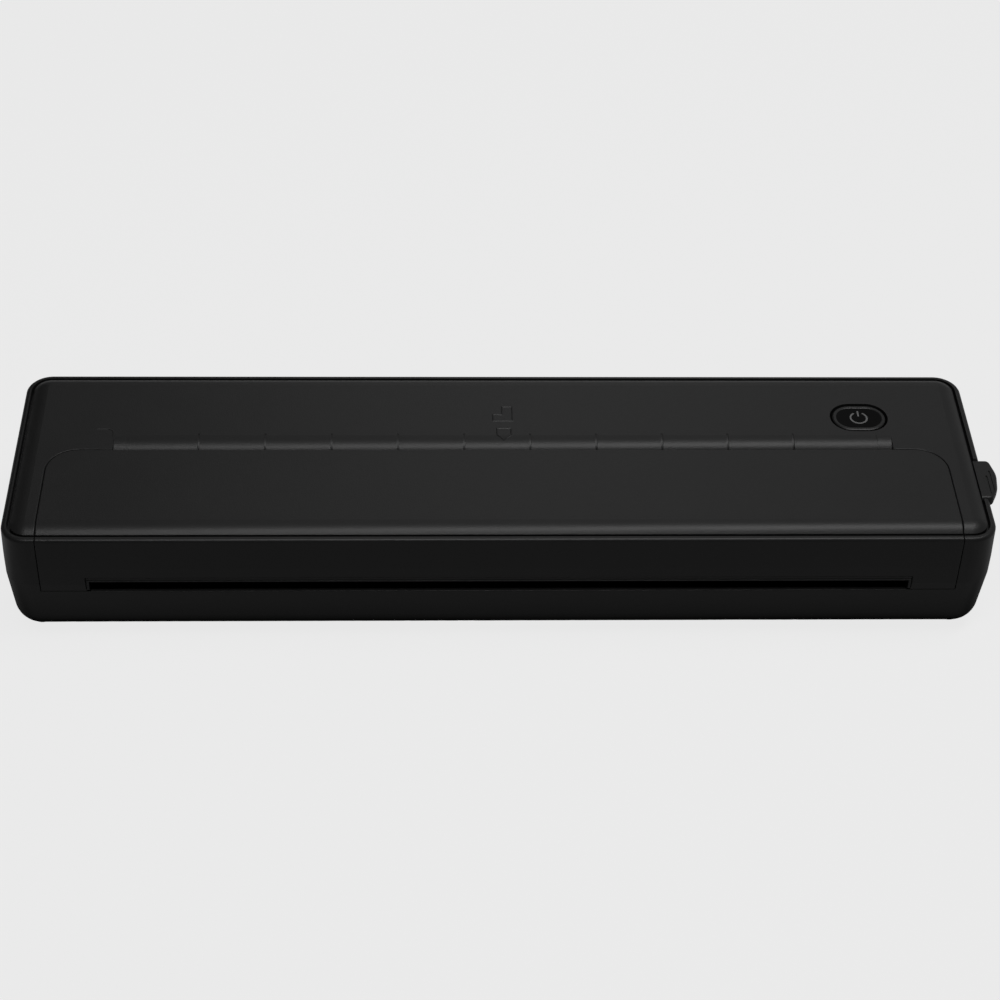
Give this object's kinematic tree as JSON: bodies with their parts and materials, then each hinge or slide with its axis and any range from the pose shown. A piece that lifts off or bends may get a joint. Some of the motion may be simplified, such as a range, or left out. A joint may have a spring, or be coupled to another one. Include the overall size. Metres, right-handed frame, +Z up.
{
  "type": "a4 portable thermal printer",
  "caption": "Flat portable thermal printer for A4 sheets: black case, hinged front lid with the platen roller, rear inlet chute, front exit slot, power button and release tab.",
  "frame": {"origin": "on the surface the printer stands on, under the middle of the case and the release tab together", "axes": "+X to the right along the case, +Y to the rear, +Z up"},
  "size_m": [0.2712, 0.0706, 0.0382],
  "materials": {
    "case_black": "fine matte grain",
    "gloss_black": "polished",
    "icon_grey": "satin",
    "foot_rubber": "matte",
    "roller_rubber": "ground",
    "zinc_steel": "zinc plated",
    "steel": "ground",
    "black_steel": "black oxide",
    "aluminium": "milled",
    "ceramic": "glazed",
    "gear_white": "moulded acetal",
    "bush_grey": "moulded",
    "board_green": "solder mask",
    "cell_wrap": "shrink sleeve",
    "ribbon_white": "film",
    "brass": "turned"
  },
  "bodies": {
    "base": {"lower_case": "case_black", "upper_case": "case_black", "rear_deck": "case_black", "feet": "foot_rubber", "case_screws": "black_steel", "deck_screws": "zinc_steel", "hinge_pins": "steel", "head_frame": "zinc_steel", "head_springs": "steel", "motor_bracket": "zinc_steel", "gear_studs": "steel", "bracket_screws": "zinc_steel", "stepper_motor": "steel", "rear_paper_guide": "case_black", "paper_sensor": "gloss_black", "latch_spring": "steel", "main_board": "board_green", "usb_socket": "steel", "tact_switch": "gloss_black", "battery_cells": "cell_wrap", "battery_holder": "case_black", "ribbon_connector": "bush_grey", "head_ribbon": "ribbon_white"},
    "lid": {"front_lid": "case_black", "platen_bracket": "zinc_steel", "lid_screws": "black_steel", "platen_bushes": "bush_grey", "latch_strikers": "steel"},
    "platen": {"platen_shaft": "steel", "platen_rubber": "roller_rubber", "platen_gear": "gear_white"},
    "idler": {"idler_gear": "gear_white"},
    "reduction": {"reduction_gear": "gear_white"},
    "rotor": {"motor_pinion": "brass", "motor_shaft": "steel"},
    "head": {"head_heatsink": "aluminium", "print_head": "ceramic", "driver_cover": "gloss_black"},
    "latch": {"latch_shaft": "steel", "latch_hooks": "zinc_steel", "release_tab": "case_black"},
    "button": {"power_button": "gloss_black", "power_icon": "icon_grey"}
  },
  "joints": [
    {"name": "lid_hinge", "type": "hinge", "parent": "base", "child": "lid", "pos_m": [0, -0.03272, 0.0208], "axis": [1, 0, 0], "range_deg": [0, 85]},
    {"name": "platen_spin", "type": "hinge", "parent": "lid", "child": "platen", "pos_m": [0, -0.014, 0.0277], "axis": [1, 0, 0], "continuous": true},
    {"name": "idler_spin", "type": "hinge", "parent": "base", "child": "idler", "pos_m": [0, -0.0095, 0.0155], "axis": [1, 0, 0], "continuous": true},
    {"name": "reduction_spin", "type": "hinge", "parent": "base", "child": "reduction", "pos_m": [0, 0.0008, 0.01751], "axis": [1, 0, 0], "continuous": true},
    {"name": "rotor_spin", "type": "hinge", "parent": "base", "child": "rotor", "pos_m": [0, 0.0116, 0.01961], "axis": [1, 0, 0], "continuous": true},
    {"name": "head_tilt", "type": "hinge", "parent": "base", "child": "head", "pos_m": [0, -0.0035, 0.02075], "axis": [1, 0, 0], "range_deg": [0, 2.5], "stiffness_Nm_per_rad": 0.7, "springref_deg": -6.88, "deforming": ["head_springs"]},
    {"name": "latch_turn", "type": "hinge", "parent": "base", "child": "latch", "pos_m": [0, 0.0065, 0.031], "axis": [1, 0, 0], "range_deg": [-9, 0], "stiffness_Nm_per_rad": 0.05, "springref_deg": 14.32},
    {"name": "button_press", "type": "slide", "parent": "base", "child": "button", "axis": [0, 0, -1], "range_m": [0, 0.0006], "stiffness_N_per_m": 900}
  ],
  "couplings": [
    {"joint": "idler_spin", "follows": "platen_spin", "ratio": -0.85714},
    {"joint": "reduction_spin", "follows": "platen_spin", "ratio": 1.7143},
    {"joint": "rotor_spin", "follows": "platen_spin", "ratio": -4.5714}
  ]
}
